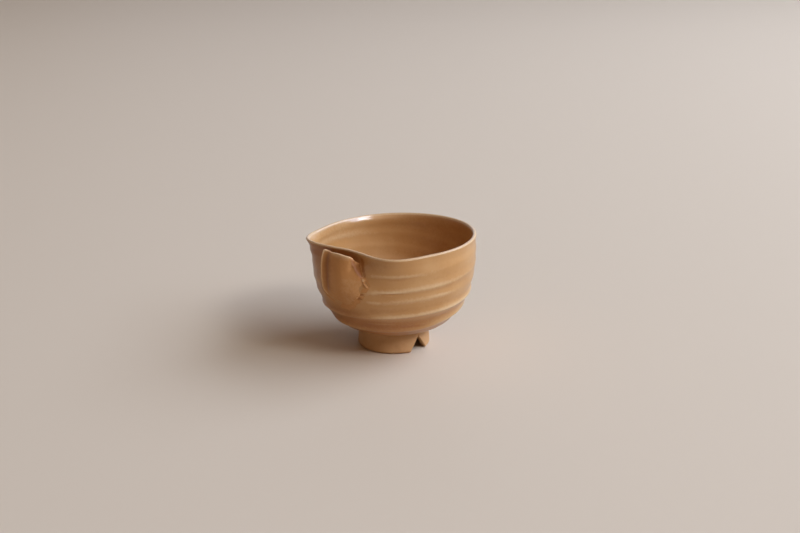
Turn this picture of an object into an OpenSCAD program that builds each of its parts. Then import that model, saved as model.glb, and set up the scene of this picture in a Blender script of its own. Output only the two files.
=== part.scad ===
// Katakuchi: a wheel-thrown stoneware pouring bowl on a cut foot, with a slab spout.
// Millimetres, +Z up. The origin is the centre of the foot, on the table.
// The spout is on the -Y side. Angles start there and run counterclockwise seen from above.

/* [Bowl] */
// Radius of the rim, away from the dent above the spout
rim_r = 50; // [44:0.5:60]
// Height of the rim above the table
rim_z = 69.6; // [62:0.2:80]
// How far the underside runs out level from the base before it turns up
belly_reach = 15.5; // [10:0.5:20]
// How far the guide of the wall's fullest part stands out past the rim
belly_swell = 2.6; // [0:0.2:5]
// How far below the rim that guide lies
belly_drop = 33; // [26:1:40]
// Thickness of the wall
wall_t = 3.4; // [2.6:0.1:4.5]
// Thickness of the rounded lip
lip_t = 2.4; // [1.8:0.1:3]
// Thickness of the floor
floor_t = 6; // [4:0.5:9]

/* [Throwing ridges] */
// Height of the spiral ridges that the fingers left
ridge_d = 0.8; // [0:0.1:1.2]
// Distance from one ridge to the next
ridge_pitch = 8.6; // [6:0.2:12]
// Height of the first ridge below the spout
ridge_z = 31; // [26:0.5:36]
// Smooth band left under the rim
ridge_rim_gap = 7; // [4:0.5:14]

/* [Rim dent] */
// How far the rim is pushed in above the spout
dent_d = 12; // [9:0.2:14]
// Half the angle that the dent spans
dent_half = 50; // [40:1:60]
// How far down the wall the dent reaches
dent_drop = 25; // [18:1:32]
// How far the shoulders beside the dent swell out
shoulder_d = 3.2; // [0:0.2:4]
// Angle from the spout to each shoulder
shoulder_turn = 46; // [40:1:60]
// How far down the wall the shoulders reach
shoulder_drop = 14; // [8:1:20]
// How far the rim rises on its high side
rim_wave = 0.6; // [0:0.1:1.5]

/* [Spout] */
// Drop from the rim to the spout's lip
spout_gap = 2.8; // [2:0.2:5]
// Height of the slab
spout_h = 32; // [28:0.5:36]
// Height of the slab's round lower part
spout_round_h = 16; // [12:0.5:20]
// Greatest width of the slab
spout_w = 31; // [29:0.5:36]
// Width of the slab at its lip
spout_lip_w = 27; // [25:0.5:30]
// How far the slab's body lies to the +X side of its lip
spout_drift = 3; // [-5:0.2:5]
// Thickness of the slab
spout_t = 2.2; // [1.8:0.1:2.8]
// How far the slab's face stands out from the wall
spout_stand = 1.2; // [0.8:0.1:2]
// How far the slab leans in at its lip
spout_lean = 4.6; // [3.6:0.2:5.6]
// Radius of the slab's face across its width
spout_face_r = 60; // [45:1:90]
// Width of the pouring hole through the wall
hole_w = 20; // [14:0.5:22]
// Height of the pouring hole
hole_h = 14; // [10:0.5:16]
// Height of the wall left as a bridge between the hole and the rim
bridge_h = 7; // [5:0.5:9]
// Thickness of the coil of clay that seals the slab to the wall
coil_d = 2.8; // [2:0.1:4]

/* [Foot] */
// Height of the foot ring
foot_h = 14.2; // [12:0.2:16]
// Radius of the foot ring where it meets the bowl
foot_top_r = 21.5; // [18:0.5:26]
// Radius of the foot ring near the table
foot_low_r = 22.5; // [19:0.5:28]
// Thickness of the foot ring
foot_t = 5.2; // [4:0.2:7]
// Rounding of the foot's outer lower edge
foot_round = 1.2; // [0.5:0.1:2]
// Width of the knife cut at the table
notch_w = 8.6; // [5:0.2:12]
// Height of the knife cut
notch_h = 10.8; // [6:0.2:11]
// Angle from the spout to the knife cut
notch_turn = 88; // [60:1:120]
// Size of the fillet of slip between the foot and the bowl
foot_slip = 1.6; // [1:0.1:2]

/* [Hidden] */

// Points around the bowl, and rows up its outside, over its lip and down its inside
around = 64;
outer_rows = 40;
lip_rows = 4;
inner_rows = 22;

// The flat base is as wide as the foot and its fillet, with a narrow margin.
base_margin = 0.5;
base_r = foot_top_r + foot_slip + base_margin;
// The profile's end, where the rounded lip starts
lip_z = rim_z - lip_t / 2;
guide = [
    [base_r, foot_h],
    [base_r + belly_reach, foot_h],
    [rim_r + belly_swell, rim_z - belly_drop],
    [rim_r, lip_z]
];
// Share of the profile by which the floor has thinned to the wall
floor_share = 0.3;
// The ridges climb this many pitches in a turn, start above the base and fade over this height.
ridge_starts = 2;
ridge_base_gap = 6;
ridge_fade = 6;
shoulder_half = 28;
// The dent's middle, and the side where the rim is highest
dent_turn = 2;
wave_turn = 137;
wave_drop = 30;

spout_top = rim_z - spout_gap;
spout_low = spout_top - spout_h;
spout_mid = spout_low + spout_round_h;
// Half the angle that the slab covers, the angle to its middle, and how far past it the wall is smoothed
slab_turn = asin(spout_w / 2 / rim_r);
drift_turn = asin(spout_drift / rim_r);
smooth_turn = 6;
hole_top = rim_z - bridge_h;
hole_low = hole_top - hole_h;
// Levels in the slab's round lower part and in its upper part, and points across its face
round_levels = 8;
upper_levels = 6;
across = 20;
// The lip's corners are rounded over this height.
corner_h = 2.4;
corner_w = 1.6;
// The slab's thin lower edge
edge_t = 0.7;
// How far outside the slab's edge the coil's middle runs
coil_out = 0.2 * coil_d;
// How far in from the spout's face the blanks and cuts reach
reach = 30;
thin = 0.01;
over = 1;

glaze = [0.68, 0.47, 0.29];
glaze_dark = [0.60, 0.40, 0.24];
bare_clay = [0.66, 0.52, 0.38];

$fn = 96;

function lerp(a, b, s) = a + (b - a) * s;
function smooth(s) = let (c = min(max(s, 0), 1)) c * c * (3 - 2 * c);
function wrapped(a) = a - 360 * round(a / 360);
// A bump of height 1 around angle 0 that is nothing past the half angle
function bump(a, half) = abs(wrapped(a)) < half ? pow(cos(90 * wrapped(a) / half), 2) : 0;
// How strongly the rim's shape is felt at a height, from 1 at the rim to 0 at a drop below it
function near_rim(z, drop) = smooth((z - rim_z + drop) / drop);

// The wall's plain profile, as [radius, height], and its outward direction
function profile(t) =
    pow(1 - t, 3) * guide[0] + 3 * t * pow(1 - t, 2) * guide[1]
    + 3 * t * t * (1 - t) * guide[2] + pow(t, 3) * guide[3];
function climb(t) =
    pow(1 - t, 2) * (guide[1] - guide[0]) + 2 * t * (1 - t) * (guide[2] - guide[1])
    + t * t * (guide[3] - guide[2]);
function outward(t) = let (c = climb(t)) [c[1], -c[0]] / norm(c);
function share_at(z, lo = 0, hi = 1, steps = 18) =
    let (m = (lo + hi) / 2)
    steps == 0 ? m
    : profile(m)[1] < z ? share_at(z, m, hi, steps - 1) : share_at(z, lo, m, steps - 1);

// What hands did to the wall: ridges, the pushed-in rim and its shoulders
function ridge(a, z) =
    ridge_d * pow(0.5 + 0.5 * cos(360 * (z - ridge_z) / ridge_pitch - ridge_starts * a), 2)
    * smooth((z - foot_h - ridge_base_gap) / ridge_fade)
    * smooth((rim_z - ridge_rim_gap - z) / ridge_fade)
    * (1 - smoothed(a, z));
// Where the wall was smoothed before the slab was laid on it
function smoothed(a, z) =
    smooth((z - spout_low + ridge_fade) / ridge_fade)
    * smooth((slab_turn + smooth_turn - abs(wrapped(a - drift_turn))) / smooth_turn);
function push(a, z) =
    shoulder_d * near_rim(z, shoulder_drop)
    * (bump(a - shoulder_turn, shoulder_half) + bump(a + shoulder_turn, shoulder_half))
    - dent_d * near_rim(z, dent_drop) * bump(a - dent_turn, dent_half);
function lift(a, z) = rim_wave * near_rim(z, wave_drop) * cos(a - wave_turn);
function wall_r(a, z) = profile(share_at(z))[0] + ridge(a, z) + push(a, z);

// A point in space from an angle, a radius and a height
function place(a, r, z) = [r * sin(a), -r * cos(a), z];
function shaped(a, p) = place(a, p[0] + push(a, p[1]), p[1] + lift(a, p[1]));

function wall_thickness(t) =
    t < floor_share ? lerp(floor_t, wall_t, t / floor_share)
    : lerp(wall_t, lip_t, (t - floor_share) / (1 - floor_share));
function outer_point(t, a) = shaped(a, profile(t) + outward(t) * ridge(a, profile(t)[1]));
function inner_point(t, a) = shaped(a, profile(t) - outward(t) * wall_thickness(t));
function lip_point(turn, a) =
    let (from = profile(1), to = profile(1) - outward(1) * lip_t)
    shaped(a, (from + to) / 2 + cos(turn) * (from - to) / 2 + [0, sin(turn) * lip_t / 2]);

function angles() = [for (j = [0:around - 1]) 360 * j / around];
function outer_wall() = [for (i = [0:outer_rows], a = angles()) outer_point(i / outer_rows, a)];
function lip_bead() = [for (i = [1:lip_rows - 1], a = angles()) lip_point(180 * i / lip_rows, a)];
function inner_wall() = [for (i = [0:inner_rows], a = angles()) inner_point(1 - i / inner_rows, a)];

// Triangles of a closed skin: a middle point below, rings from first to last, a middle point above
function skin(rings) =
    let (n = around, last = (rings - 1) * n, below = rings * n, above = below + 1)
    concat(
        [for (i = [0:rings - 2], j = [0:n - 1], half = [0, 1])
            let (k = (j + 1) % n, low = i * n, high = low + n)
            half == 0 ? [low + j, high + j, high + k] : [low + j, high + k, low + k]],
        [for (j = [0:n - 1]) [below, j, (j + 1) % n]],
        [for (j = [0:n - 1]) [above, last + (j + 1) % n, last + j]]
    );

module solid_of_rings(points, below, above) {
    rings = len(points) / around;
    polyhedron(concat(points, [below, above]), skin(rings), convexity = 6);
}

// The bowl's outside as a filled solid, which what sits on the wall is cut with
module wall_form() {
    solid_of_rings(outer_wall(), [0, 0, foot_h], [0, 0, lip_z]);
}

// Where the slab's middle lies across the wall at a height
function slab_centre(z) = spout_drift * smooth((spout_top - z) / (spout_top - spout_mid));
// Half the slab's width at a height: a round lower part, drawn in to the lip with rounded corners.
// A grown outline lies outside the slab's own.
function slab_half(z, grown = 0) =
    z < spout_mid
    ? (spout_w / 2 + grown) * sqrt(max(1 - pow((spout_mid - z) / (spout_round_h + grown), 2), 0))
    : lerp(spout_w, spout_lip_w, smooth((z - spout_mid) / (spout_top - spout_mid))) / 2 + grown
        - corner_w * pow(max(z - spout_top + corner_h, 0) / corner_h, 2);
// Distance of the slab's face from the bowl's axis, at its middle
function slab_face(z) =
    profile(share_at(z))[0]
    + lerp(edge_t, spout_stand, smooth((z - spout_low) / spout_round_h))
    - spout_lean * pow(max(z - spout_mid, 0) / (spout_top - spout_mid), 2);
function slab_levels() = concat(
    [for (i = [1:round_levels]) spout_mid - spout_round_h * cos(90 * i / round_levels)],
    [for (i = [1:upper_levels]) lerp(spout_mid, spout_top - corner_h, i / upper_levels)],
    [spout_top - corner_h / 2, spout_top]
);

// One level of the slab, or of the channel behind it when inset
module slab_slice(z, inset, half) {
    face = slab_face(z) - inset;
    from = slab_centre(z) - half;
    to = slab_centre(z) + half;
    bow = function(x) spout_face_r - sqrt(pow(spout_face_r, 2) - x * x);
    front = [for (i = [0:across]) let (x = lerp(from, to, i / across)) [x, bow(x) - face]];
    back = [[to, reach - face], [from, reach - face]];
    translate([0, 0, z]) linear_extrude(thin) polygon(concat(front, back));
}

module slab_blank() {
    levels = slab_levels();
    for (i = [0:len(levels) - 2]) hull() {
        slab_slice(levels[i], 0, slab_half(levels[i]));
        slab_slice(levels[i + 1], 0, slab_half(levels[i + 1]));
    }
}

// The way from the pouring hole up behind the slab and out over its lip
module channel() {
    middle = (spout_mid + spout_top) / 2;
    levels = [hole_low, spout_mid, middle, spout_top, spout_top + over];
    inside = function(z) min(slab_half(z), slab_half(spout_top)) - spout_t;
    for (i = [0:len(levels) - 2]) hull() {
        slab_slice(levels[i], spout_t, inside(levels[i]));
        slab_slice(levels[i + 1], spout_t, inside(levels[i + 1]));
    }
}

module pouring_hole() {
    end_r = hole_h / 2;
    middle = hole_low + end_r;
    rotate([90, 0, 0]) translate([slab_centre(middle), middle, 0]) linear_extrude(2 * rim_r) {
        square([hole_w - hole_h, hole_h], center = true);
        for (side = [-1, 1]) translate([side * (hole_w - hole_h) / 2, 0]) circle(end_r);
    }
}

module bowl() {
    points = concat(outer_wall(), lip_bead(), inner_wall());
    color(glaze) difference() {
        solid_of_rings(points, [0, 0, foot_h], [0, 0, foot_h + floor_t]);
        pouring_hole();
    }
}

module spout() {
    color(glaze_dark) difference() {
        slab_blank();
        wall_form();
        channel();
    }
}

// The coil's route, down one side of the slab, round its lower end and up the other side
function angle_at(x, z, a = 0, steps = 6) =
    steps == 0 ? a : angle_at(x, z, asin(x / wall_r(a, z)), steps - 1);
function coil_spot(side, z) =
    let (a = angle_at(slab_centre(z) + side * slab_half(z, coil_out), z))
    place(a, wall_r(a, z), z);
function coil_levels() =
    let (top = spout_top - corner_h, drop = spout_round_h + coil_out)
    concat(
        [for (i = [1:round_levels]) spout_mid - drop * cos(90 * (i - 0.5) / round_levels)],
        [for (i = [1:upper_levels]) lerp(spout_mid, top, (i - 0.5) / upper_levels)],
        [top]
    );
function coil_route() =
    let (up = coil_levels(), n = len(up))
    concat(
        [for (i = [n - 1:-1:0]) coil_spot(-1, up[i])],
        [coil_spot(0, spout_low - coil_out)],
        [for (z = up) coil_spot(1, z)]
    );

module spout_luting() {
    route = coil_route();
    color(glaze) difference() {
        for (i = [0:len(route) - 2]) hull() {
            translate(route[i]) sphere(d = coil_d, $fn = 16);
            translate(route[i + 1]) sphere(d = coil_d, $fn = 16);
        }
        wall_form();
        slab_blank();
    }
}

// The foot's outside radius at a height
function foot_r(z) = lerp(foot_low_r, foot_top_r, z / foot_h);

module foot_ring() {
    inner_r = foot_top_r - foot_t;
    round_steps = 6;
    cut_half = notch_w / 2 * (notch_h + over) / notch_h;
    low_edge = [for (i = [0:round_steps])
        let (turn = 90 * i / round_steps)
        [foot_r(foot_round) - foot_round * (1 - sin(turn)), foot_round * (1 - cos(turn))]];
    color(bare_clay) difference() {
        rotate_extrude() polygon(concat(
            [[inner_r, foot_h], [inner_r, foot_round / 2], [inner_r + foot_round / 2, 0]],
            low_edge,
            [[foot_top_r, foot_h]]
        ));
        rotate([90, 0, notch_turn - 90]) rotate([0, 90, 0])
            linear_extrude(4 * foot_low_r, center = true)
            polygon([[-cut_half, -over], [cut_half, -over], [0, notch_h]]);
    }
}

module foot_luting() {
    curve_steps = 6;
    low_r = foot_r(foot_h - foot_slip);
    span = foot_top_r + foot_slip - low_r;
    hollow = [for (i = [0:curve_steps])
        let (turn = 90 * i / curve_steps)
        [low_r + span * (1 - sin(turn)), foot_h - foot_slip * (1 - cos(turn))]];
    color(glaze_dark) rotate_extrude() polygon(concat([[foot_top_r, foot_h]], hollow));
}

bowl();
spout();
spout_luting();
foot_ring();
foot_luting();
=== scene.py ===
import math

import bmesh
import bpy
from mathutils import Matrix, Vector, noise


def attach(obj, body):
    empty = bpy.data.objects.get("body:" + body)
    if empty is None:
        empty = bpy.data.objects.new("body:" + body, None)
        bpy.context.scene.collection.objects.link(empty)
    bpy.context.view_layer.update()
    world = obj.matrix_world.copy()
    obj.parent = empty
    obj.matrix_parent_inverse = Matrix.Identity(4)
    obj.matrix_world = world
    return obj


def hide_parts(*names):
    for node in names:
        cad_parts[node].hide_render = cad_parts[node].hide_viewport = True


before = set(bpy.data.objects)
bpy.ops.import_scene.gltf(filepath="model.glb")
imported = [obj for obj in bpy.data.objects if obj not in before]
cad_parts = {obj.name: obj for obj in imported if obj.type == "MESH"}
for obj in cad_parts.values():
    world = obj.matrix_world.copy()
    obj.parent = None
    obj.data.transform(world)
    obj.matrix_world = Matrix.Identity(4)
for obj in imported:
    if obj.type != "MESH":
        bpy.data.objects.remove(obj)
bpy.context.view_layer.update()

MM = 0.001

# The bowl, in the sizes of its solid
RIM_R = 50.0
RIM_Z = 69.6
BELLY_REACH = 15.5
BELLY_SWELL = 2.6
BELLY_DROP = 33.0
WALL_T = 3.4
LIP_T = 2.4
FLOOR_T = 6.0
FLOOR_SHARE = 0.3
FOOT_H = 14.2
FOOT_TOP_R = 21.5
FOOT_LOW_R = 22.5
FOOT_T = 5.2
FOOT_SLIP = 1.6
BASE_LEDGE = 0.5
BASE_R = FOOT_TOP_R + FOOT_SLIP + BASE_LEDGE
LIP_Z = RIM_Z - LIP_T / 2
# Guide points of the wall's curve, as (radius, height)
GUIDE = (
    Vector((BASE_R, FOOT_H)),
    Vector((BASE_R + BELLY_REACH, FOOT_H)),
    Vector((RIM_R + BELLY_SWELL, RIM_Z - BELLY_DROP)),
    Vector((RIM_R, LIP_Z)),
)

# The rim pushed in above the spout, the shoulders beside it, and a rise to one side that is more than
# the solid's
DENT_D, DENT_HALF, DENT_DROP, DENT_TURN = 12.0, 50.0, 25.0, 2.0
SHOULDER_D, SHOULDER_HALF, SHOULDER_DROP, SHOULDER_TURN = 3.2, 28.0, 14.0, 46.0
RIM_RAISE, RIM_WAVE, WAVE_DROP, WAVE_TURN = 0.65, 2.0, 30.0, 128.0
# How unevenly the upper wall was thrown
UNEVEN_D, UNEVEN_DROP, UNEVEN_SIZE = 0.25, 40.0, 0.7
# The rim's turned-out edge, and the hollow under it that is deepest on the spout's left
FLARE_D, FLARE_DROP, FLARE_H = 0.4, 3.0, 2.4
HOLLOW_D, HOLLOW_DROP, HOLLOW_H = 0.3, 5.2, 2.0
HOLLOW_MORE, HOLLOW_TURN, HOLLOW_HALF = 1.6, -15.0, 75.0

# Throwing ridges: their crests on the side that faces the camera, climbing as a two-start spiral
CRESTS = (21.8, 33.0, 43.4, 49.6, 58.7)
CREST_STRENGTHS = (1.1, 1.3, 0.5, 0.85, 0.45)
CREST_TURN, CREST_HALF = 46.0, 120.0
CREST_WANDER, WANDER_H = 0.1, 12.0
RIDGE_D = 0.9
RIDGE_PITCH = 8.6
RIDGE_CLIMB = 2 * RIDGE_PITCH
# The share of a ridge's height that lies below the plain wall
RIDGE_SUNK = 0.35
# How far a crest's thin edge reaches up and down the wall, in pitches
CREST_ABOVE, CREST_BELOW = 0.16, 0.09
# The upper ridges, counted from the lowest crest. They are sharp only about one angle.
UPPER_FROM, UPPER_OVER = 1.2, 0.8
SHARP_TURN, SHARP_HALF, SHARP_FADE = 40.0, 15.0, 25.0
# Sides where the upper ridges are weaker. On the right the lower ones are stronger too.
RIGHT_TURN, RIGHT_HALF = 132.0, 80.0
LEFT_TURN, LEFT_HALF = -50.0, 60.0
# Where there are hardly any ridges: behind the slab, just over the foot and just under the rim
BEHIND_TURN, BEHIND_HALF, BEHIND_LOW, BEHIND_FADE = 4.0, 27.0, 29.0, 6.0
PLAIN_FOOT, PLAIN_RIM = 2.5, 5.5


def lerp(a, b, s):
    return a + (b - a) * s


def smooth(s):
    s = min(max(s, 0.0), 1.0)
    return s * s * (3 - 2 * s)


def wrapped(a):
    return a - 360 * round(a / 360)


def bump(a, half):
    """A smooth rise from 0 to 1 and back over twice the half angle."""
    a = wrapped(a)
    return math.cos(math.radians(90 * a / half)) ** 2 if abs(a) < half else 0.0


def hill(s, width):
    return math.exp(-((s / width) ** 2))


def curve(s, points):
    """A smooth curve through a few (place, value) points, held past both ends."""
    s = min(max(s, points[0][0]), points[-1][0])
    i = next(k for k in range(len(points) - 1) if s <= points[k + 1][0])
    (s0, v0), (s1, v1) = points[i], points[i + 1]
    (sa, va), (sb, vb) = points[max(i - 1, 0)], points[min(i + 2, len(points) - 1)]
    f = (s - s0) / (s1 - s0)
    m0 = (v1 - va) / (s1 - sa) * (s1 - s0)
    m1 = (vb - v0) / (sb - s0) * (s1 - s0)
    bend = v0 - v1
    return v0 + m0 * f + (m0 + m1 + 2 * bend) * f ** 3 - (3 * bend + 2 * m0 + m1) * f ** 2


def straight(s, points):
    """Straight lines through a few (place, value) points, carried on past both ends."""
    pair = next((p for p in zip(points, points[1:]) if s <= p[1][0]), points[-2:])
    (s0, v0), (s1, v1) = pair
    return lerp(v0, v1, (s - s0) / (s1 - s0))


def rough(x, y, z, size):
    """Even noise from about -1 to 1 whose lumps are of the size given."""
    return noise.noise(Vector((x, y, z)) / size)


def rough_round(a, level, size):
    """The same noise round a circle of radius 1, so that it closes."""
    turn = math.radians(a)
    return rough(math.sin(turn), math.cos(turn), level, size)


def spots(a, z, table):
    """The sum of soft spots on the wall: angle, height, half length, half width and strength of each."""
    total = 0.0
    for turn, at, half, width, strength in table:
        total += strength * hill(z - at, width) * bump(a - turn, half)
    return total


def place(a, r, z):
    a = math.radians(a)
    return Vector((r * math.sin(a), -r * math.cos(a), z)) * MM


def turn_of(co):
    return math.degrees(math.atan2(co.x, -co.y))


def profile(t):
    """The wall's plain profile as (radius, height)."""
    u = 1 - t
    return u ** 3 * GUIDE[0] + 3 * t * u * u * GUIDE[1] + 3 * t * t * u * GUIDE[2] + t ** 3 * GUIDE[3]


def outward(t):
    u = 1 - t
    c = u * u * (GUIDE[1] - GUIDE[0]) + 2 * t * u * (GUIDE[2] - GUIDE[1]) + t * t * (GUIDE[3] - GUIDE[2])
    return Vector((c.y, -c.x)).normalized()


def share_at(z):
    """The share along the profile at which it reaches a height."""
    low, high = 0.0, 1.0
    for _ in range(20):
        middle = (low + high) / 2
        if profile(middle).y < z:
            low = middle
        else:
            high = middle
    return (low + high) / 2


def near_rim(z, drop):
    return smooth((z - RIM_Z + drop) / drop)


def push(a, z):
    """How far hands moved the wall out: the dent, its shoulders and a slight unevenness."""
    sides = bump(a - SHOULDER_TURN, SHOULDER_HALF) + bump(a + SHOULDER_TURN, SHOULDER_HALF)
    dent = DENT_D * near_rim(z, DENT_DROP) * bump(a - DENT_TURN, DENT_HALF)
    uneven = UNEVEN_D * near_rim(z, UNEVEN_DROP) * rough_round(a, z / UNEVEN_DROP, UNEVEN_SIZE)
    return SHOULDER_D * near_rim(z, SHOULDER_DROP) * sides - dent + uneven


def lift(a, z):
    """How far the wall stands up towards the rim, more on one side."""
    wave = RIM_RAISE + RIM_WAVE * math.cos(math.radians(a - WAVE_TURN))
    return near_rim(z, WAVE_DROP) * wave


def ridge_phase(a, z):
    """How many ridges up the wall a place is. Whole numbers are crests."""
    level = z - RIDGE_CLIMB * wrapped(a - CREST_TURN) / 360
    even = 1 + (level - CRESTS[1]) / RIDGE_PITCH
    seen = straight(level, [(crest, i) for i, crest in enumerate(CRESTS)])
    wander = CREST_WANDER * rough_round(a, z / WANDER_H, 1)
    return lerp(even, seen, bump(a - CREST_TURN, CREST_HALF)) + wander


def ridge(a, z):
    """Height of the throwing ridges about the plain wall, in millimetres."""
    phase = ridge_phase(a, z)
    above = phase - math.floor(phase)
    swell = 0.5 + 0.5 * math.cos(2 * math.pi * above)
    crest = max(hill(above, CREST_ABOVE), hill(1 - above, CREST_BELOW))
    upper = smooth((phase - UPPER_FROM) / UPPER_OVER)
    soft = upper * smooth((abs(wrapped(a - SHARP_TURN)) - SHARP_HALF) / SHARP_FADE)
    form = lerp(swell, crest, lerp(0.5, 0.25, soft))
    strength = curve(phase, list(enumerate(CREST_STRENGTHS)))
    right, left = bump(a - RIGHT_TURN, RIGHT_HALF), bump(a - LEFT_TURN, LEFT_HALF)
    strength *= 1 + lerp(0.5, -0.55, upper) * right - 0.5 * upper * left
    strength *= 1 + 0.5 * rough_round(a, phase / 2, 0.5)
    behind = smooth((BEHIND_HALF - abs(wrapped(a - BEHIND_TURN))) / BEHIND_FADE)
    behind *= smooth((z - BEHIND_LOW) / BEHIND_FADE)
    ends = smooth((z - FOOT_H - PLAIN_FOOT) / 5) * smooth((RIM_Z - PLAIN_RIM - z) / 6)
    return RIDGE_D * (form - RIDGE_SUNK) * strength * ends * (1 - 0.9 * behind)


def rim_flare(a, z):
    """The turned-out edge of the rim, over a hollow that is deepest on the spout's left."""
    more = 1 + HOLLOW_MORE * bump(a - HOLLOW_TURN, HOLLOW_HALF)
    edge = FLARE_D * smooth((z - RIM_Z + FLARE_DROP) / FLARE_H)
    return more * (edge - HOLLOW_D * hill(z - RIM_Z + HOLLOW_DROP, HOLLOW_H))


def wall_y(x, z):
    """Where the bowl's outside lies at a place seen from the spout's side."""
    plain_r = r = profile(share_at(z)).x
    for _ in range(4):
        a = math.degrees(math.asin(x / r))
        r = plain_r + ridge(a, z) + push(a, z) + rim_flare(a, z)
    return -math.sqrt(r * r - x * x)


def wall_thickness(t):
    if t < FLOOR_SHARE:
        return lerp(FLOOR_T, WALL_T, t / FLOOR_SHARE)
    return lerp(WALL_T, LIP_T, (t - FLOOR_SHARE) / (1 - FLOOR_SHARE))


def linear(colour):
    """A colour for a shader from its sRGB hex value."""
    parts = [int(colour[i:i + 2], 16) / 255 for i in (1, 3, 5)]
    return [c / 12.92 if c <= 0.04045 else ((c + 0.055) / 1.055) ** 2.4 for c in parts] + [1.0]


def add(tree, kind, inputs=None, **settings):
    """Adds a node. Inputs are values, or outputs of other nodes to link."""
    made = tree.nodes.new(kind)
    for name, value in settings.items():
        setattr(made, name, value)
    for socket, value in (inputs or {}).items():
        if isinstance(value, bpy.types.NodeSocket):
            tree.links.new(value, made.inputs[socket])
        else:
            made.inputs[socket].default_value = value
    return made


# Fired surfaces: cloudy patches, a fine grain, faint waves from the wheel, and the depth of the skin
CLOUD_SIZE, GRAIN_SIZE, WHEEL_PITCH, SKIN_DEPTH = 22.0, 1.5, 8.8, 0.12
# A wave texture of scale 1 repeats at this length
WAVE_LENGTH = 2 * math.pi / 20
FIRED_IOR = 1.5


def fired_surface(name, body, warm, thin, pool_and_shade, roughness, shine, coat, coat_roughness):
    """A fired surface, lighter where it is thin, on crests and edges, and darker where the glaze is thick.
    Its tone attribute also carries painted shade, drawn in the pool colour, and painted highlight, drawn
    in the thin colour.
    """
    material = bpy.data.materials.new(name)
    material.use_nodes = True
    tree = material.node_tree
    shader = tree.nodes["Principled BSDF"]
    at = add(tree, "ShaderNodeTexCoord").outputs["Object"]
    tone_and_shade = add(tree, "ShaderNodeAttribute", attribute_name="tone_and_shade").outputs["Fac"]
    clouds = add(tree, "ShaderNodeTexNoise", {"Vector": at, "Scale": 1 / (CLOUD_SIZE * MM), "Detail": 3.0})
    grains = add(tree, "ShaderNodeTexNoise", {"Vector": at, "Scale": 1 / (GRAIN_SIZE * MM), "Detail": 4.0})
    grain = grains.outputs["Fac"]
    # Thin and thick glaze, with painted shade and highlight among them, broken up by the grain
    broken = add(tree, "ShaderNodeMath", {0: grain, 1: 0.5, 2: -0.25}, operation="MULTIPLY_ADD")
    depth = add(tree, "ShaderNodeMath", {0: tone_and_shade, 1: broken.outputs[0]}, operation="ADD").outputs[0]
    patch = {"Value": clouds.outputs["Fac"], "From Min": 0.35, "From Max": 0.65}
    high = {"Value": depth, "From Min": 0.1, "From Max": 1.0, "To Max": 0.8}
    low = {"Value": depth, "From Min": -0.1, "From Max": -1.0, "To Max": 0.8}
    # A colour mix takes its share at 0 and its colours at 6 and 7, and gives its result at 2
    colour = linear(body)
    for where, over in ((patch, warm), (high, thin), (low, pool_and_shade)):
        share = add(tree, "ShaderNodeMapRange", where).outputs[0]
        mixed = add(tree, "ShaderNodeMix", {0: share, 6: colour, 7: linear(over)}, data_type="RGBA")
        colour = mixed.outputs[2]
    tree.links.new(colour, shader.inputs["Base Color"])
    uneven = {"Value": grain, "To Min": roughness - 0.05, "To Max": roughness + 0.07}
    tree.links.new(add(tree, "ShaderNodeMapRange", uneven).outputs[0], shader.inputs["Roughness"])
    # The wheel's faint waves under the skin of the glaze
    waves = add(
        tree,
        "ShaderNodeTexWave",
        {
            "Vector": at,
            "Scale": WAVE_LENGTH / (WHEEL_PITCH * MM),
            "Distortion": 2.5,
            "Detail": 2.0,
            "Detail Scale": 0.6,
        },
        bands_direction="Z",
    )
    wave = waves.outputs["Fac"]
    skin = add(tree, "ShaderNodeMath", {0: wave, 1: 0.35, 2: grain}, operation="MULTIPLY_ADD")
    relieved = {"Height": skin.outputs[0], "Strength": 0.35, "Distance": SKIN_DEPTH * MM}
    tree.links.new(add(tree, "ShaderNodeBump", relieved).outputs[0], shader.inputs["Normal"])
    shader.inputs["IOR"].default_value = FIRED_IOR
    shader.inputs["Specular IOR Level"].default_value = shine
    shader.inputs["Coat Weight"].default_value = coat
    shader.inputs["Coat Roughness"].default_value = coat_roughness
    return material


def glassy_rim(material):
    """Lets the clear coat grow to a full one where the rim was pared and the glaze ran thick."""
    tree = material.node_tree
    coat = tree.nodes["Principled BSDF"].inputs["Coat Weight"]
    thick = add(tree, "ShaderNodeAttribute", attribute_name="glassy").outputs["Fac"]
    grown = add(tree, "ShaderNodeMapRange", {"Value": thick, "To Min": coat.default_value, "To Max": 1.0})
    tree.links.new(grown.outputs[0], coat)


def new_piece(name, bm, material):
    """Makes an object of a finished bmesh and lets it stand for the solid of its name."""
    bmesh.ops.recalc_face_normals(bm, faces=bm.faces)
    mesh = bpy.data.meshes.new(name + "_mesh")
    bm.to_mesh(mesh)
    bm.free()
    mesh.shade_smooth()
    mesh.materials.append(material)
    piece = bpy.data.objects.new(name + "_made", mesh)
    bpy.context.scene.collection.objects.link(piece)
    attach(piece, "root")
    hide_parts(name)


def spun(points, steps, closed=False):
    """A form turned about the Z axis from (radius, height) points. Each vertex keeps the row it is in."""
    bm = bmesh.new()
    row = bm.verts.layers.float.new("row")
    line = [bm.verts.new(place(0, r, z)) for r, z in points]
    for i, v in enumerate(line):
        v[row] = i
    edges = [bm.edges.new(pair) for pair in zip(line, line[1:])]
    if closed:
        edges.append(bm.edges.new((line[-1], line[0])))
    bmesh.ops.spin(
        bm,
        geom=line + edges,
        cent=(0, 0, 0),
        axis=(0, 0, 1),
        angle=2 * math.pi,
        steps=steps,
        use_merge=True,
    )
    bmesh.ops.remove_doubles(bm, verts=bm.verts, dist=1e-7)
    bm.verts.layers.float.new("tone_and_shade")
    return bm


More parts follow.
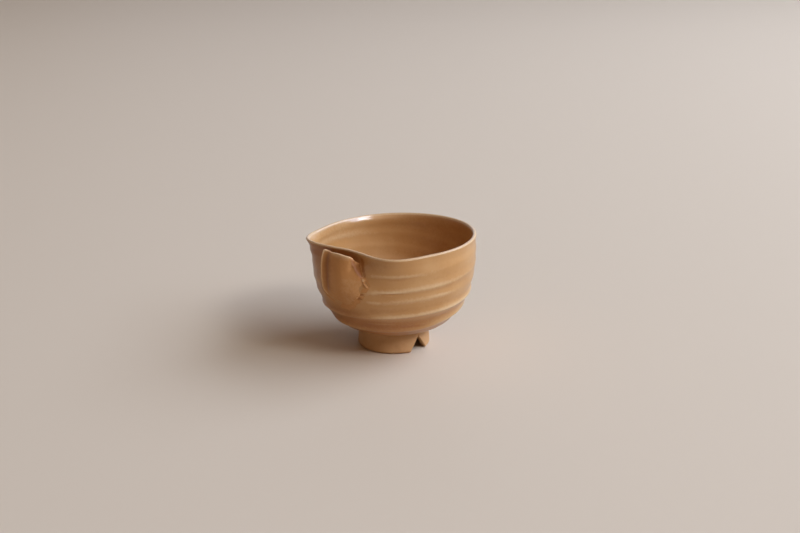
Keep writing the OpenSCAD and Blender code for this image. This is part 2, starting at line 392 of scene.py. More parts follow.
def doubled_sheet(columns, rows):
    """A grid and a copy behind it, closed round the edge. Each vertex keeps its share across and up."""
    bm = bmesh.new()
    bmesh.ops.create_grid(bm, x_segments=columns, y_segments=rows, size=0.5)
    across, up = bm.verts.layers.float.new("across"), bm.verts.layers.float.new("up")
    bm.verts.layers.float.new("tone_and_shade")
    for v in bm.verts:
        v[across] = v.co.x + 0.5
        v[up] = v.co.y + 0.5
    front = list(bm.verts)
    made = bmesh.ops.extrude_face_region(bm, geom=bm.faces[:], use_keep_orig=True)["geom"]
    back = [g for g in made if isinstance(g, bmesh.types.BMVert)]
    return bm, front, back


# The bowl
OUTER_ROWS, LIP_ROWS, INNER_ROWS, FLAT_ROWS = 190, 12, 108, 7
AROUND = 300
INNER_RIDGE_D = 0.16
# Where the inside of the rim was pared back
BEVEL_H, BEVEL_SLOPE, BEVEL_TURN, BEVEL_HALF = 2.0, 0.4, -116.0, 36.0
# Fine lines the fingers left: the middle's angle and height, half the length, half the width, the rise
WALL_LINES = (
    (43.0, 49.5, 15.0, 0.45, 0.2),
    (44.0, 48.5, 13.0, 0.5, -0.16),
    (50.0, 58.8, 28.0, 0.8, 0.16),
    (47.0, 56.7, 14.0, 0.7, -0.16),
    (31.0, 42.6, 10.0, 0.6, 0.12),
    (82.0, 45.4, 12.0, 0.7, 0.12),
    (36.0, 27.2, 20.0, 0.7, 0.14),
    (64.0, 25.0, 24.0, 0.8, -0.14),
    (152.0, 55.6, 26.0, 0.6, 0.16),
    (205.0, 47.0, 30.0, 0.6, -0.16),
    (-96.0, 52.3, 24.0, 0.6, 0.16),
    (-120.0, 40.2, 22.0, 0.7, -0.14),
    (240.0, 30.6, 24.0, 0.7, 0.14),
)
# Painted shade under the slab and in the hollow under the rim, and painted light on the belly in front,
# given in the same way
PAINTED_WALL_TONES = (
    (6.0, 31.5, 42.0, 5.5, 2.2),
    (-18.0, RIM_Z - 5.0, 80.0, 2.6, 2.25),
    (52.0, 48.0, 60.0, 9.0, -0.7),
)
# How thin the glaze is on the flat base and floor, and on the lip
FLAT_TONE, LIP_TONE = -0.3, 0.55
# Half the angle of the wall that the slab and its marks reach
MARKED_HALF = 40.0
# The pouring hole behind the slab: a slot with round ends and rounded edges
HOLE_W, HOLE_H, HOLE_X, HOLE_Z, HOLE_ROUND, HOLE_STEPS = 20.0, 14.0, 2.5, 55.6, 0.9, 4


def bowl_rows():
    """Rows of the bowl's section, out from the middle of its base, up, over the lip and down inside."""
    rows = [(Vector((BASE_R * i / FLAT_ROWS, FOOT_H)), Vector((0, -1)), "base") for i in range(FLAT_ROWS)]
    for i in range(OUTER_ROWS + 1):
        t = i / OUTER_ROWS
        rows.append((profile(t), outward(t), "outside"))
    start, end = profile(1), profile(1) - outward(1) * LIP_T
    middle = (start + end) / 2
    for i in range(1, LIP_ROWS):
        turn = math.pi * i / LIP_ROWS
        at = middle + (start - end) / 2 * math.cos(turn) + Vector((0, LIP_T / 2 * math.sin(turn)))
        rows.append((at, (at - middle).normalized(), "lip"))
    for i in range(INNER_ROWS + 1):
        t = 1 - i / INNER_ROWS
        rows.append((profile(t) - outward(t) * wall_thickness(t), -outward(t), "inside"))
    inner_r = rows[-1][0].x
    for i in range(1, FLAT_ROWS + 1):
        rows.append((Vector((inner_r * (1 - i / FLAT_ROWS), FOOT_H + FLOOR_T)), Vector((0, 1)), "floor"))
    return rows


def inner_ridge(a, z):
    """Soft finger grooves inside, which climb as the ridges outside do."""
    phase = (z - 3 - RIDGE_CLIMB * a / 360) / RIDGE_PITCH
    ends = smooth((z - 24) / 8) * smooth((RIM_Z - 4 - z) / 6)
    return ends * (0.5 + 0.5 * math.cos(2 * math.pi * phase)) ** 2


def bevel(a, z):
    """How far the inside of the rim was pared back, where it catches the light."""
    return BEVEL_SLOPE * max(z - LIP_Z + BEVEL_H, 0) * bump(a - BEVEL_TURN, BEVEL_HALF)


def thin_edge(z):
    """How much thinner the glaze is towards the rim's edge."""
    return 0.4 * smooth((z - RIM_Z + 2.2) / 2)


def outer_relief(a, z):
    """How far the outside stands off the plain wall, and its tone: thin glaze on crests and lines, darker
    low down, and painted shade and light.
    """
    fine = spots(a, z, WALL_LINES)
    height = ridge(a, z) + fine
    # Darker low on the wall, more so in front, and painted shade down the spout's left, the side turned
    # from the light
    darkened = 1.4 * smooth((30 - z) / 10) + 1.1 * bump(a - 36, 60) * smooth((34 - z) / 9)
    # The spots add painted shade under the slab and under the rim, and painted light on the belly
    darkened += 2.0 * bump(a + 42, 45) + spots(a, z, PAINTED_WALL_TONES)
    return height, 0.8 * height / RIDGE_D - 0.05 + thin_edge(z) - 0.4 * darkened + 1.5 * fine


def inner_relief(a, z):
    """How far the inside stands off its plain wall, and its tone: thin glaze on its ridges and rim,
    painted sheen on the left near the rim and painted shade on the right.
    """
    height = INNER_RIDGE_D * inner_ridge(a, z)
    # Painted sheen high on the inside left, and painted shade over the inside right
    pale = 0.3 * bump(a + 75, 70) * smooth((z - 50) / 12)
    return height, 1.2 * height - 0.1 + thin_edge(z) + pale - 0.4 * bump(a - 136, 120)


def beside_slab(x, z):
    """How the slab changes the wall's tone beside it: the marks' tones, and painted shade in the crease
    along its left edge.
    """
    darkened = hill(x - left_x(z) + 1.7, 1.3) * smooth((z - 40) / 4) * smooth((67 - z) / 3)
    return marks(x, z)[1] - 0.8 * darkened


def shape_wall(bm, rows):
    """Gives the spun wall its ridges, dent and rim, and keeps its glaze tone, with painted shade and
    light, and how glassy its glaze is.
    """
    row, tone_and_shade = bm.verts.layers.float["row"], bm.verts.layers.float["tone_and_shade"]
    glassy = bm.verts.layers.float.new("glassy")
    for v in bm.verts:
        at, out, side = rows[round(v[row])]
        a = turn_of(v.co)
        if side == "outside":
            height, v[tone_and_shade] = outer_relief(a, at.y)
        elif side == "inside":
            height, v[tone_and_shade] = inner_relief(a, at.y)
        else:
            height, v[tone_and_shade] = 0.0, LIP_TONE if side == "lip" else FLAT_TONE
        r, z = at + out * height
        if side == "inside":
            r += bevel(a, min(at.y, LIP_Z))
        elif side == "lip":
            r += bevel(a, LIP_Z) * (1 - out.x) / 2
        if side in ("lip", "inside"):
            v[glassy] = smooth((at.y - RIM_Z + 5) / 2) * smooth(bump(a - BEVEL_TURN, BEVEL_HALF) * 2)
        if side in ("outside", "lip", "inside"):
            r += push(a, z) + rim_flare(a, z)
            z += lift(a, z)
        v.co = place(a, r, z)
        if side == "outside" and abs(wrapped(a)) < MARKED_HALF:
            v[tone_and_shade] += beside_slab(v.co.x / MM, v.co.z / MM)


def hole_line(x, z):
    """The nearest point of the pouring hole's outline, the way out of it and the distance past it."""
    reach = (HOLE_W - HOLE_H) / 2
    middle = Vector((HOLE_X + max(-reach, min(reach, x - HOLE_X)), HOLE_Z))
    away = Vector((x, z)) - middle
    out = away.normalized()
    return middle + out * HOLE_H / 2, out, away.length - HOLE_H / 2


def cut_hole(bm, rows):
    """Opens the pouring hole through both faces of the wall and rounds its edges."""
    row = bm.verts.layers.float["row"]
    gone = []
    for f in bm.faces:
        c = f.calc_center_median() / MM
        if c.y < -RIM_R / 2 and hole_line(c.x, c.z)[2] < HOLE_ROUND:
            gone.append(f)
    bmesh.ops.delete(bm, geom=gone, context="FACES")
    ends = []
    for side, inward in (("outside", 1), ("inside", -1)):
        loop = [e for e in bm.edges if e.is_boundary and rows[round(e.verts[0][row])][2] == side]
        for i in range(HOLE_STEPS + 1):
            turn = math.pi / 2 * i / HOLE_STEPS
            back = math.pi / 2 * max(i - 1, 0) / HOLE_STEPS
            step = inward * HOLE_ROUND * (math.cos(back) - math.cos(turn))
            if i:
                made = bmesh.ops.extrude_edge_only(bm, edges=loop)["geom"]
                loop = [g for g in made if isinstance(g, bmesh.types.BMEdge) and g.is_boundary]
            for v in {v for e in loop for v in e.verts}:
                on, out, _ = hole_line(v.co.x / MM, v.co.z / MM)
                at = on + out * HOLE_ROUND * (1 - math.sin(turn))
                v.co = Vector((at.x, v.co.y / MM + step, at.y)) * MM
        ends += loop
    bmesh.ops.bridge_loops(bm, edges=ends)


def make_bowl(glaze):
    rows = bowl_rows()
    bm = spun([at for at, _, _ in rows], AROUND)
    shape_wall(bm, rows)
    cut_hole(bm, rows)
    new_piece("bowl", bm, glaze)


# The spout's slab as it is seen from the front: its left and right edges as (z, x), and its lip as
# (x, z above the top row)
SLAB_LEFT = (
    (38.6, -3.6), (40.6, -8.4), (44.5, -10.9), (50.0, -10.6), (56.0, -11.0), (61.5, -12.8), (67.0, -14.2),
)
SLAB_RIGHT = (
    (36.6, 8.6), (38.6, 12.2), (42.0, 16.0), (47.0, 18.8),
    (52.0, 20.2), (57.0, 18.9), (62.0, 16.0), (66.8, 12.6),
)
SLAB_LIP = (
    (-14.2, -0.7), (-13.0, 0.2), (-9.5, 0.1), (-5.7, 0.4), (0.8, 1.3),
    (7.0, 1.3), (10.0, 1.0), (11.4, 0.1), (12.6, -1.8),
)
SLAB_ACROSS, SLAB_DOWN = 96, 56
# How much closer the columns lie towards both edges, from 0 to 1
SLAB_CROWDED = 0.65
SLAB_T, SLAB_LIP_T = 2.0, 1.5
SLAB_TOP, SLAB_MID, SLAB_LOW = 66.8, 50.8, 34.8
SLAB_LEAN = 4.6
# How deep its edges and its back are sunk in the wall
SLAB_SINK, BACK_SINK = 0.3, 0.5
# How far it stands off the plain wall low down and above
STAND_LOW, STAND_HIGH = 0.7, 1.2
# The radius of its face low down and above, and how it bends back on the right
FACE_R_LOW, FACE_R_HIGH, FACE_FROM, FACE_OVER = 50.0, 60.0, 44.0, 16.0
BEND_X, BEND_STRENGTH, BEND_OVER = 4.0, 0.016, 8.0
# Widths of its rolled edges, wider at the low left corner and narrower on the right cheek
EDGE_LEFT, EDGE_RIGHT, EDGE_LOW, EDGE_CORNER, EDGE_CHEEK = 1.5, 1.4, 6.5, 7.0, 1.0
# Half the height over which an edge's lean is measured
EDGE_STEP = 0.4
# Where the right cheek starts, and how far its edge falls at the lip
CHEEK_Z, CHEEK_FALL = 58.0, 2.4
# Above this height the left edge is free of the wall
LOOSE_Z, LOOSE_SHARE = 62.5, 0.75
# A bead along the left edge, a valley beside it and a swell on the right: height, place and half width
BEAD_D, BEAD_IN, BEAD_W = 0.6, 1.0, 0.5
VALLEY_D, VALLEY_IN, VALLEY_W = 0.9, 5.0, 2.6
SWELL_D, SWELL_X, SWELL_W = 0.6, 8.0, 7.0
DIMPLE_D, DIMPLE_X, DIMPLE_Z, DIMPLE_W, DIMPLE_H = 0.2, 12.6, 63.0, 0.9, 1.6
LIP_ROUND = 0.3

# Marks of fingers and tools beside the slab: a line from (x, z) to (x, z), half its width, its height
# and its tone. A dark tone is painted shade in a slit, gap or crease; a light one, on the lump and the
# smear's ridge, is partly thin glaze and partly painted highlight
MARKS = (
    (19.5, 55.9, 19.8, 55.3, 0.8, 0.9, 1.0),
    (19.2, 59.0, 19.5, 56.9, 0.35, -1.6, -1.6),
    (20.1, 53.9, 22.6, 51.8, 0.5, 0.45, 0.6),
    (20.9, 54.4, 23.3, 52.3, 0.45, -0.4, -0.9),
    (18.7, 47.0, 20.4, 47.3, 0.8, -0.7, -1.2),
    (17.9, 44.4, 19.3, 44.0, 0.7, -0.6, -1.2),
    (14.2, 65.6, 17.6, 60.6, 0.9, 0.0, -1.1),
    (17.6, 60.6, 20.0, 57.6, 0.7, 0.0, -0.9),
    (-15.8, 66.6, -15.0, 62.6, 1.2, 0.0, -2.2),
)


def marks(x, z):
    """How far the marks raise the clay at a place, and their tone: painted shade where it is dark, thin
    glaze and painted highlight where it is light.
    """
    height = tone = 0.0
    here = Vector((x, z))
    for x0, z0, x1, z1, half, rise, pale in MARKS:
        start, way = Vector((x0, z0)), Vector((x1 - x0, z1 - z0))
        share = min(max((here - start).dot(way) / way.length_squared, 0), 1)
        near = hill((here - start - way * share).length, half)
        height += rise * near
        tone += pale * near
    return height, tone


def slab_face(x, z):
    """Where the slab's smooth outer face lies. It follows the wall low down and bridges the dent above."""
    stand = lerp(STAND_LOW, STAND_HIGH, smooth((z - SLAB_LOW) / (SLAB_MID - SLAB_LOW)))
    lean = SLAB_LEAN * (max(z - SLAB_MID, 0) / (SLAB_TOP - SLAB_MID)) ** 2
    face_r = lerp(FACE_R_LOW, FACE_R_HIGH, smooth((z - FACE_FROM) / FACE_OVER))
    bent = BEND_STRENGTH * max(x - BEND_X, 0) ** 2 * smooth((z - FACE_FROM) / BEND_OVER)
    return face_r - math.sqrt(face_r ** 2 - x * x) + bent + lean - stand - profile(share_at(z)).x


def left_x(z):
    return curve(z, SLAB_LEFT) + 0.3 * rough(z, 1, 0, 2.5)


def right_x(z):
    torn = smooth((55 - z) / 5)
    return curve(z, SLAB_RIGHT) + torn * (0.9 * rough(z, 5, 0, 3.1) + 0.6 * rough(z, 9, 0, 1.3))


def lean_of(edge, z):
    """How far an edge moves along X for each millimetre up."""
    return (edge(z + EDGE_STEP) - edge(z - EDGE_STEP)) / (2 * EDGE_STEP)


def rolled(d, width):
    """How far an edge has risen at a distance from it, from 0 to 1, along a quarter round."""
    return math.sqrt(1 - (1 - min(max(d, 0) / width, 1)) ** 2)


def dimple(x, z):
    """A fingertip's dent in the slab's right shoulder, from 0 to 1."""
    return hill(math.hypot((x - DIMPLE_X) / DIMPLE_W, (z - DIMPLE_Z) / DIMPLE_H), 1)


def slab_outer(x, z):
    """The slab's outer surface and the wall's at a place, and how far both side edges are."""
    from_left = (x - left_x(z)) / math.hypot(1, lean_of(left_x, z))
    from_right = (right_x(z) - x) / math.hypot(1, lean_of(right_x, z))
    (left_low, left_end), (right_low, right_end) = SLAB_LEFT[0], SLAB_RIGHT[0]
    from_low = z - lerp(left_low, right_low, (x - left_end) / (right_end - left_end))
    loose = LOOSE_SHARE * smooth((z - LOOSE_Z) / 3)
    edge_left = lerp(EDGE_CORNER, EDGE_LEFT, smooth((z - left_low) / 3))
    edge_right = lerp(EDGE_RIGHT, EDGE_CHEEK, smooth((z - CHEEK_Z) / 6))
    risen = max(rolled(from_left, edge_left), loose) * rolled(from_right, edge_right)
    risen *= smooth(from_low / EDGE_LOW)
    bead = BEAD_D * hill(from_left - BEAD_IN, BEAD_W)
    valley = VALLEY_D * hill(from_left - VALLEY_IN, VALLEY_W) * smooth((z - 41) / 5)
    swell = SWELL_D * hill(x - SWELL_X, SWELL_W) * smooth((z - 42) / 6)
    uneven = 0.18 * rough(x, z, 0, 7.0) + 0.08 * rough(x, z, 7, 2.5)
    wall = wall_y(x, z)
    face = slab_face(x, z) - bead + valley - swell + uneven + DIMPLE_D * dimple(x, z)
    return lerp(wall + SLAB_SINK, face, risen), wall, from_left, from_right


def slab_tone(x, z, down, from_left, from_right):
    """The slab's glaze tone: bare and light on its lip and bead, with painted highlight; darker in the
    valley, partly thick glaze and partly painted shade; painted shade on the cheek's web and its dimple;
    and painted light towards its right.
    """
    lip = 1.3 * (1 - down) ** 24 * smooth((11.6 - x) / 1.5)
    web_shade = 1.4 * hill(from_right, 1.3) * smooth((z - 55) / 4) + 0.2 * dimple(x, z)
    darkened = 0.9 * hill(from_left - 6.4, 3.2) * smooth((z - 42) / 6)
    lit_right = 0.35 * smooth((x - 2) / 10) * smooth((z - 36) / 2) * smooth((60 - z) / 6)
    return 1.1 * hill(from_left - 1.5, 0.6) + lip - 0.1 - darkened - web_shade + lit_right


def slab_place(across, down):
    """The slab's outer and inner point at a share across and a share down, and how thin its glaze is."""
    share = lerp(across, 0.5 - 0.5 * math.cos(math.pi * across), SLAB_CROWDED)
    left_z = lerp(SLAB_LEFT[-1][0], SLAB_LEFT[0][0], down)
    right_z = lerp(SLAB_RIGHT[-1][0], SLAB_RIGHT[0][0], down)
    x, z = Vector((left_x(left_z), left_z)).lerp(Vector((right_x(right_z), right_z)), share)
    outer, wall, from_left, from_right = slab_outer(x, z)
    inner = min(outer + lerp(SLAB_T, SLAB_LIP_T, smooth((z - 63) / 4)), wall + BACK_SINK)
    fall = CHEEK_FALL * (1 - rolled(from_right, EDGE_RIGHT))
    ragged = 0.15 * rough(x, 0, 2, 2.6) + 0.04 * rough(x, 4, 2, 0.8)
    z += (1 - down) ** 4 * (curve(x, SLAB_LIP) + ragged - fall)
    tone = slab_tone(x, z, down, from_left, from_right)
    return Vector((x, outer, z)) * MM, Vector((x, inner, z)) * MM, tone


def make_spout(glaze):
    bm, front, back = doubled_sheet(SLAB_ACROSS, SLAB_DOWN)
    layers = bm.verts.layers.float
    across, up, tone_and_shade = layers["across"], layers["up"], layers["tone_and_shade"]
    for v in front:
        v.co, _, v[tone_and_shade] = slab_place(v[across], 1 - v[up])
    for v in back:
        _, v.co, _ = slab_place(v[across], 1 - v[up])
        # The slab's back is darkened as painted shade, except along its top edge
        v[tone_and_shade] = -0.8 * smooth((1 - v[up]) / 0.06)
    top = [e for e in bm.edges if all(v[up] > 1 - 1e-6 for v in e.verts)]
    lip = [e for e in top if e.verts[0][across] != e.verts[1][across]]
    # The bevel follows the faces, which have moved since they were made
    bmesh.ops.recalc_face_normals(bm, faces=bm.faces)
    bm.normal_update()
    bmesh.ops.bevel(
        bm, geom=lip, offset=LIP_ROUND * MM, segments=2, profile=0.5, affect="EDGES", material=-1
    )
    new_piece("spout", bm, glaze)


# The luting, along the slab's edge: down its left, under it and up its right.
# As (share along, millimetres): its reach onto the slab, its reach onto the wall and its own rise.
LUTING_ALONG, LUTING_ACROSS = 300, 30
LUTING_IN = (
    (0, 0.5), (0.06, 0.8), (0.36, 0.8), (0.47, 2.4), (0.6, 1.5), (0.8, 1.2), (0.95, 0.8), (1, 0.3),
)
LUTING_OUT = (
    (0, 0.5), (0.06, 0.8), (0.36, 0.8), (0.47, 2.4), (0.6, 2.2), (0.8, 2.6), (0.93, 3.8), (1, 0.8),
)
LUTING_RISE = (
    (0, 0.1), (0.06, 0.6), (0.3, 0.55), (0.36, 0.4), (0.41, 0.03), (0.55, 0.04), (0.8, 0.12), (1, 0.1),
)
# The share of the step from slab to wall that it fills
LUTING_FILL = (
    (0, 0.1), (0.3, 0.2), (0.4, 0.0), (0.55, 0.05), (0.62, 0.4),
    (0.75, 0.5), (0.9, 0.6), (0.96, 0.35), (1, 0.1),
)
# Where along its length it turns under the slab, and where it turns up again
TURN_UNDER, TURN_UP = 0.4, 0.55
LUTING_RIGHT_TOP = 57.4
LUTING_SINK = 0.7
LUTING_STEP = 0.025
# Splits in the coil, and where its smear is smooth: the first one's place and half its length
SPLIT_AT, SPLIT_HALF = 0.1, 0.08
SMEAR_AT, SMEAR_HALF = 0.5, 0.14


def slab_outline(q):
    """A point of the slab's edge at a share of the luting's length."""
    left_low, right_low = SLAB_LEFT[0][0], SLAB_RIGHT[0][0]
    if q < TURN_UNDER:
        z = lerp(LOOSE_Z, left_low, q / TURN_UNDER)
        return Vector((left_x(z), z))
    if q < TURN_UP:
        start = Vector((left_x(left_low), left_low))
        end = Vector((right_x(right_low), right_low))
        return start.lerp(end, (q - TURN_UNDER) / (TURN_UP - TURN_UNDER))
    z = lerp(right_low, LUTING_RIGHT_TOP, (q - TURN_UP) / (1 - TURN_UP))
    return Vector((right_x(z), z))


def repeated(s, half):
    """Soft bumps of a half length, the first at 0 and the next four half lengths on."""
    return bump(s * 90 / half, 90)


def luting_place(q, w):
    """The luting's top and underside at q along, from 0 to 1, and w across, from -1 to 1, and its tone."""
    way = (slab_outline(min(q + LUTING_STEP, 1)) - slab_outline(max(q - LUTING_STEP, 0))).normalized()
    out = Vector((way.y, -way.x))
    reach = curve(q, LUTING_OUT) * (1 + 0.3 * rough(q * 60, 0, 3, 2.0))
    off = lerp(-curve(q, LUTING_IN), reach, (w + 1) / 2)
    x, z = slab_outline(q) + out * off
    slab, wall, _, _ = slab_outer(x, z)
    slope = max(1 - max(off, 0) / reach, 0) ** 1.7
    filled = wall + min(slab_face(x, z) - wall, 0) * curve(q, LUTING_FILL) * slope
    base = min(slab, filled) if off < 0 else filled
    split = 1 - 0.8 * hill(w + 0.1, 0.28) * repeated(q - SPLIT_AT, SPLIT_HALF)
    rise = curve(q, LUTING_RISE) * (1 - w * w) ** 2 * split * (1 + 0.4 * rough(x, z, 2, 1.8))
    # The marks' tone brings their painted shade and highlight onto the luting
    mark, tone = marks(x, z)
    inside = smooth((1 - abs(w)) / 0.15)
    torn = 0.1 - 0.09 * repeated(q - SMEAR_AT, SMEAR_HALF)
    top = base - rise - mark * inside + 0.15 * (1 - inside) + torn * rough(x, z, 5, 1.1) * inside
    return Vector((x, top, z)) * MM, Vector((x, wall + LUTING_SINK, z)) * MM, 2.2 * rise - 0.3 + tone


def make_luting(glaze):
    bm, front, back = doubled_sheet(LUTING_ALONG, LUTING_ACROSS)
    layers = bm.verts.layers.float
    across, up, tone_and_shade = layers["across"], layers["up"], layers["tone_and_shade"]
    for v in front:
        v.co, _, v[tone_and_shade] = luting_place(v[across], 2 * v[up] - 1)
    for v in back:
        _, v.co, v[tone_and_shade] = luting_place(v[across], 2 * v[up] - 1)
    new_piece("spout_luting", bm, glaze)


# The foot ring and its knife cuts
FOOT_AROUND = 360
FOOT_INNER_ROWS, FOOT_UNDER_ROWS, FOOT_ROUND_ROWS, FOOT_OUTER_ROWS, FOOT_TOP_ROWS = 14, 6, 6, 24, 4
CUT_H = 9.8
# Each cut's left end, top and right end along Y
CUT_FRONT = (-6.4, -0.6, 6.2)
CUT_BACK = (-5.4, 0.8, 6.4)
# How far the front cut slants from square across the ring
CUT_SLANT = 15.0
FOOT_ROUND = 1.7
FOOT_TAPER = 1.2
# The small round inside its underside, and the room left for its unevenness outside
FOOT_EDGE, FOOT_ROOM = 0.6, 0.1
CHIP_D, CHIP_SIZE = 0.35, 1.6
BURR_D, BURR_W, BURR_Z = 0.5, 0.9, 0.8
# The slip that seals it to the bowl, and how far the slip is sunk in both
SLIP_ROWS, SLIP_AROUND = 8, 240
SLIP_IN_FOOT, SLIP_IN_BOWL, SLIP_SPREAD = 0.3, 0.25, 0.1
# Where most of the slip sags
SAG_TURN, SAG_HALF = 75.0, 55.0


def foot_rows():
    """The foot ring's section, closed: down its inside, across its underside and up its outside."""
    inner = FOOT_TOP_R - FOOT_T
    inner_low = inner + FOOT_TAPER
    low = FOOT_LOW_R - FOOT_ROOM
    rows = []
    for i in range(FOOT_INNER_ROWS):
        s = i / FOOT_INNER_ROWS
        rows.append((lerp(inner, inner_low, s), FOOT_H * (1 - s)))
    rows += [(inner_low, FOOT_EDGE), (inner_low + FOOT_EDGE / 3, FOOT_EDGE / 3)]
    for i in range(FOOT_UNDER_ROWS):
        rows.append((lerp(inner_low + FOOT_EDGE, low - FOOT_ROUND, i / FOOT_UNDER_ROWS), 0.0))
    for i in range(FOOT_ROUND_ROWS + 1):
        turn = math.pi / 2 * i / FOOT_ROUND_ROWS
        rows.append((low - FOOT_ROUND * (1 - math.sin(turn)), FOOT_ROUND * (1 - math.cos(turn))))
    for i in range(1, FOOT_OUTER_ROWS + 1):
        s = i / FOOT_OUTER_ROWS
        rows.append((lerp(low, FOOT_TOP_R, s), lerp(FOOT_ROUND, FOOT_H, s)))
    for i in range(1, FOOT_TOP_ROWS):
        rows.append((lerp(FOOT_TOP_R, inner, i / FOOT_TOP_ROWS), FOOT_H))
    return rows


def cut_height(x, y):
    """How high the knife cuts raise the foot's underside at a place."""
    left, apex, right = CUT_FRONT if x > 0 else CUT_BACK
    if x > 0:
        y += math.tan(math.radians(CUT_SLANT)) * (x - FOOT_LOW_R)
    share = (y - left) / (apex - left) if y < apex else (right - y) / (right - apex)
    return CUT_H * min(max(share, 0), 1)


def make_foot(clay):
    bm = spun(foot_rows(), FOOT_AROUND, closed=True)
    tone_and_shade = bm.verts.layers.float["tone_and_shade"]
    for v in bm.verts:
        x, y, z = v.co / MM
        low = cut_height(x, y)
        a, r = turn_of(v.co), math.hypot(x, y)
        r += (0.14 * rough(x, y, z, 9.0) + 0.08 * rough(x, y, z, 3.0)) * smooth((FOOT_H - z) / 3)
        up = z / FOOT_H
        # Chips along the underside, deeper in the sides of the cuts
        deep = CHIP_D if 0 < low < CUT_H else CHIP_D * 0.4
        chips = deep * max(rough(x, y, 0, CHIP_SIZE), 0) * (1 - up) ** 6
        level = lerp(low + chips, FOOT_H, up)
        # Burrs the knife left where each cut meets the outside
        cut = CUT_FRONT if x > 0 else CUT_BACK
        burr = max(hill(math.hypot(y - side, level - BURR_Z), BURR_W) for side in (cut[0], cut[2]))
        burr *= smooth((r - FOOT_LOW_R + 2) / 1.5)
        v.co = place(a, r + BURR_D * burr, level)
        # Painted shade darkens the underside where the foot meets the floor, less on the cut faces; the
        # burrs are lighter, partly raw clay and partly painted highlight
        contact_shade = (1 - up) ** 8
        v[tone_and_shade] = 0.4 * rough(x, y, z, 5.0) - (0.2 if low > 0 else 0.7) * contact_shade + burr
    new_piece("foot_ring", bm, clay)


def slip_rows():
    """The slip's section, closed: a hollow fillet between the foot's outside and the bowl's base."""
    low_r = lerp(FOOT_LOW_R, FOOT_TOP_R, 1 - FOOT_SLIP / FOOT_H)
    high_r = FOOT_TOP_R + FOOT_SLIP
    top = FOOT_H + SLIP_IN_BOWL
    rows = [(FOOT_TOP_R - SLIP_IN_FOOT, top), (low_r - SLIP_IN_FOOT, FOOT_H - FOOT_SLIP - SLIP_SPREAD)]
    for i in range(SLIP_ROWS + 1):
        turn = math.pi / 2 * i / SLIP_ROWS
        r = low_r + (high_r - low_r) * (1 - math.cos(turn))
        rows.append((r, FOOT_H - FOOT_SLIP * (1 - math.sin(turn))))
    rows.append((high_r + SLIP_SPREAD, top))
    return rows


def make_foot_luting(clay):
    bm = spun(slip_rows(), SLIP_AROUND, closed=True)
    tone_and_shade = bm.verts.layers.float["tone_and_shade"]
    for v in bm.verts:
        x, y, z = v.co / MM
        a, r = turn_of(v.co), math.hypot(x, y)
        sag = 0.5 * max(rough(x, y, 0, 6.0), -0.4) + 0.2 * rough(x, y, 3, 2.0)
        sag += 0.9 * bump(a - SAG_TURN, SAG_HALF)
        if z < FOOT_H:
            z -= sag * (FOOT_H - z) / FOOT_SLIP * 0.6
            r += 0.12 * rough(x, y, z, 3.0)
        v.co = place(a, r, z)
        v[tone_and_shade] = -0.3 + 0.3 * rough(x, y, z, 3.0)
    new_piece("foot_luting", bm, clay)


# Stoneware under a caramel ash glaze: glassy but soft, paler on the rim and crests, redder where thick;
# the same redder colour draws painted shade
amber_glaze = fired_surface(
    "amber_glaze_stoneware",
    body="#C29561",
    warm="#BA8A54",
    thin="#DEC49C",
    pool_and_shade="#96581E",
    roughness=0.38,
    shine=0.3,
    coat=0.42,
    coat_roughness=0.12,
)
# The same glaze on the slab, a little browner and duller, and pale on its torn edges; its dark and pale
# colours also draw painted shade and highlight
spout_glaze = fired_surface(
    "amber_glaze_slab",
    body="#C28D56",
    warm="#BA824C",
    thin="#DEBE92",
    pool_and_shade="#8A501E",
    roughness=0.55,
    shine=0.3,
    coat=0.06,
    coat_roughness=0.3,
)
# Bare clay with a thin wash: dull, greyer and dry to the eye
foot_clay = fired_surface(
    "washed_bare_clay",
    body="#C0966A",
    warm="#B88C5E",
    thin="#D2B08A",
    pool_and_shade="#8C5F38",
    roughness=0.6,
    shine=0.2,
    coat=0.0,
    coat_roughness=0.3,
)

glassy_rim(amber_glaze)
make_bowl(amber_glaze)
make_spout(spout_glaze)
make_luting(spout_glaze)
make_foot(foot_clay)
make_foot_luting(foot_clay)

# The stage: a round floor just under the foot, four soft lamps, the room and the camera
STAGE_R, STAGE_DROP, STAGE_SIDES = 9000.0, 0.05, 96
# Each lamp's name, degrees to the right of straight behind the bowl as the camera sees it, degrees up,
# distance and size in metres, watts and colour
LAMPS = (
    ("side_panel", 88, 38, 3.6, (4.6, 2.0), 210, "#D4E4FF"),
    ("front_panel", 178, 42, 8.8, (8.0, 5.6), 80, "#FFCA96"),
    ("small_panel", 132, 37, 7.2, (2.5, 1.26), 150, "#F4F8FF"),
    ("back_panel", 20, 17, 13.6, (20.0, 6.4), 310, "#DCE8FF"),
)
CAMERA_TURN, CAMERA_ELEVATION, CAMERA_FAR = 46.0, 19.37, 689.2
LENS, SENSOR = 50.0, 36.0
# The point that the camera is set by, and its pixel in a picture of this size
AIM = Vector((0, 0, 36.0))
PICTURE = (800, 533)
AIM_PIXEL = (393.8, 286.9)


def matt_paint(name, colour, roughness, shine):
    """Plain matt paint, the same all over, for the stage alone."""
    material = bpy.data.materials.new(name)
    material.use_nodes = True
    shader = material.node_tree.nodes["Principled BSDF"]
    shader.inputs["Base Color"].default_value = linear(colour)
    shader.inputs["Roughness"].default_value = roughness
    shader.inputs["Specular IOR Level"].default_value = shine
    return material


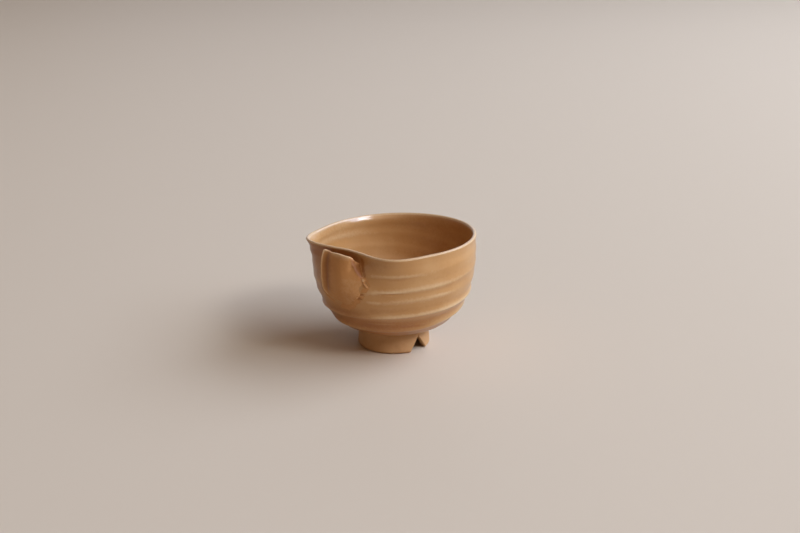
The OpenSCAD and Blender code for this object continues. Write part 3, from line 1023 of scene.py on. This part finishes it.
def make_floor():
    bm = bmesh.new()
    bmesh.ops.create_circle(bm, cap_ends=True, segments=STAGE_SIDES, radius=STAGE_R * MM)
    for v in bm.verts:
        v.co.z = -STAGE_DROP * MM
    mesh = bpy.data.meshes.new("floor")
    bm.to_mesh(mesh)
    bm.free()
    mesh.materials.append(matt_paint("pale_floor", "#D4C4AE", roughness=0.6, shine=0.1))
    floor = bpy.data.objects.new("floor", mesh)
    bpy.context.scene.collection.objects.link(floor)


def camera_axes():
    """Ways to the right of, up in and back out of the picture, for a camera straight at the aim."""
    turn, rise = math.radians(CAMERA_TURN), math.radians(CAMERA_ELEVATION)
    back = Vector((math.sin(turn) * math.cos(rise), -math.cos(turn) * math.cos(rise), math.sin(rise)))
    right = Vector((math.cos(turn), math.sin(turn), 0))
    return right, back.cross(right), back


def make_camera():
    """Turns the camera a little off the aim, so that the aim falls on its pixel without a shift."""
    right, up, back = camera_axes()
    focal = PICTURE[0] * LENS / SENSOR
    yaw = math.atan2(AIM_PIXEL[0] - PICTURE[0] / 2, focal)
    pitch = math.atan2(AIM_PIXEL[1] - PICTURE[1] / 2, focal)
    tilted = -back * math.cos(pitch) + up * math.sin(pitch)
    up_picture = right.cross(tilted)
    ahead = tilted * math.cos(yaw) - right * math.sin(yaw)
    across = ahead.cross(up_picture)
    data = bpy.data.cameras.new("camera")
    data.lens, data.sensor_width = LENS, SENSOR
    camera = bpy.data.objects.new("camera", data)
    turned = Matrix((across, up_picture, -ahead)).transposed().to_4x4()
    camera.matrix_world = Matrix.Translation((AIM + back * CAMERA_FAR) * MM) @ turned
    bpy.context.scene.collection.objects.link(camera)
    bpy.context.scene.camera = camera


def make_lamp(name, side, rise, far, size, power, colour):
    """A soft lamp that faces the aim."""
    right, _, back = camera_axes()
    level = Vector((-back.x, -back.y, 0)).normalized()
    side, rise = math.radians(side), math.radians(rise)
    flat = level * math.cos(side) + right * math.sin(side)
    way = flat * math.cos(rise) + Vector((0, 0, math.sin(rise)))
    data = bpy.data.lights.new(name, "AREA")
    data.shape = "RECTANGLE"
    data.size, data.size_y = size
    data.energy = power
    data.color = linear(colour)[:3]
    lamp = bpy.data.objects.new(name, data)
    lamp.location = AIM * MM + way * far
    lamp.rotation_mode = "QUATERNION"
    lamp.rotation_quaternion = way.to_track_quat("Z", "Y")
    bpy.context.scene.collection.objects.link(lamp)


def make_room():
    """A dim warm room that fills the shadows. The camera and reflections see a plain pale one."""
    world = bpy.data.worlds.new("room")
    world.use_nodes = True
    tree = world.node_tree
    rays = add(tree, "ShaderNodeLightPath").outputs
    seen = rays["Is Camera Ray"]
    for ray in ("Is Glossy Ray", "Is Transmission Ray"):
        seen = add(tree, "ShaderNodeMath", {0: seen, 1: rays[ray]}, operation="MAXIMUM").outputs[0]
    fill = add(tree, "ShaderNodeBackground", {"Color": linear("#FFD3A7"), "Strength": 0.11})
    pale = add(tree, "ShaderNodeBackground", {"Color": linear("#E4DBD0"), "Strength": 0.8})
    both = add(tree, "ShaderNodeMixShader", {0: seen, 1: fill.outputs[0], 2: pale.outputs[0]})
    tree.links.new(both.outputs[0], tree.nodes["World Output"].inputs["Surface"])
    bpy.context.scene.world = world


make_floor()
make_camera()
make_room()
for lamp_values in LAMPS:
    make_lamp(*lamp_values)
bpy.context.scene.view_settings.view_transform = "Standard"

bpy.context.view_layer.update()
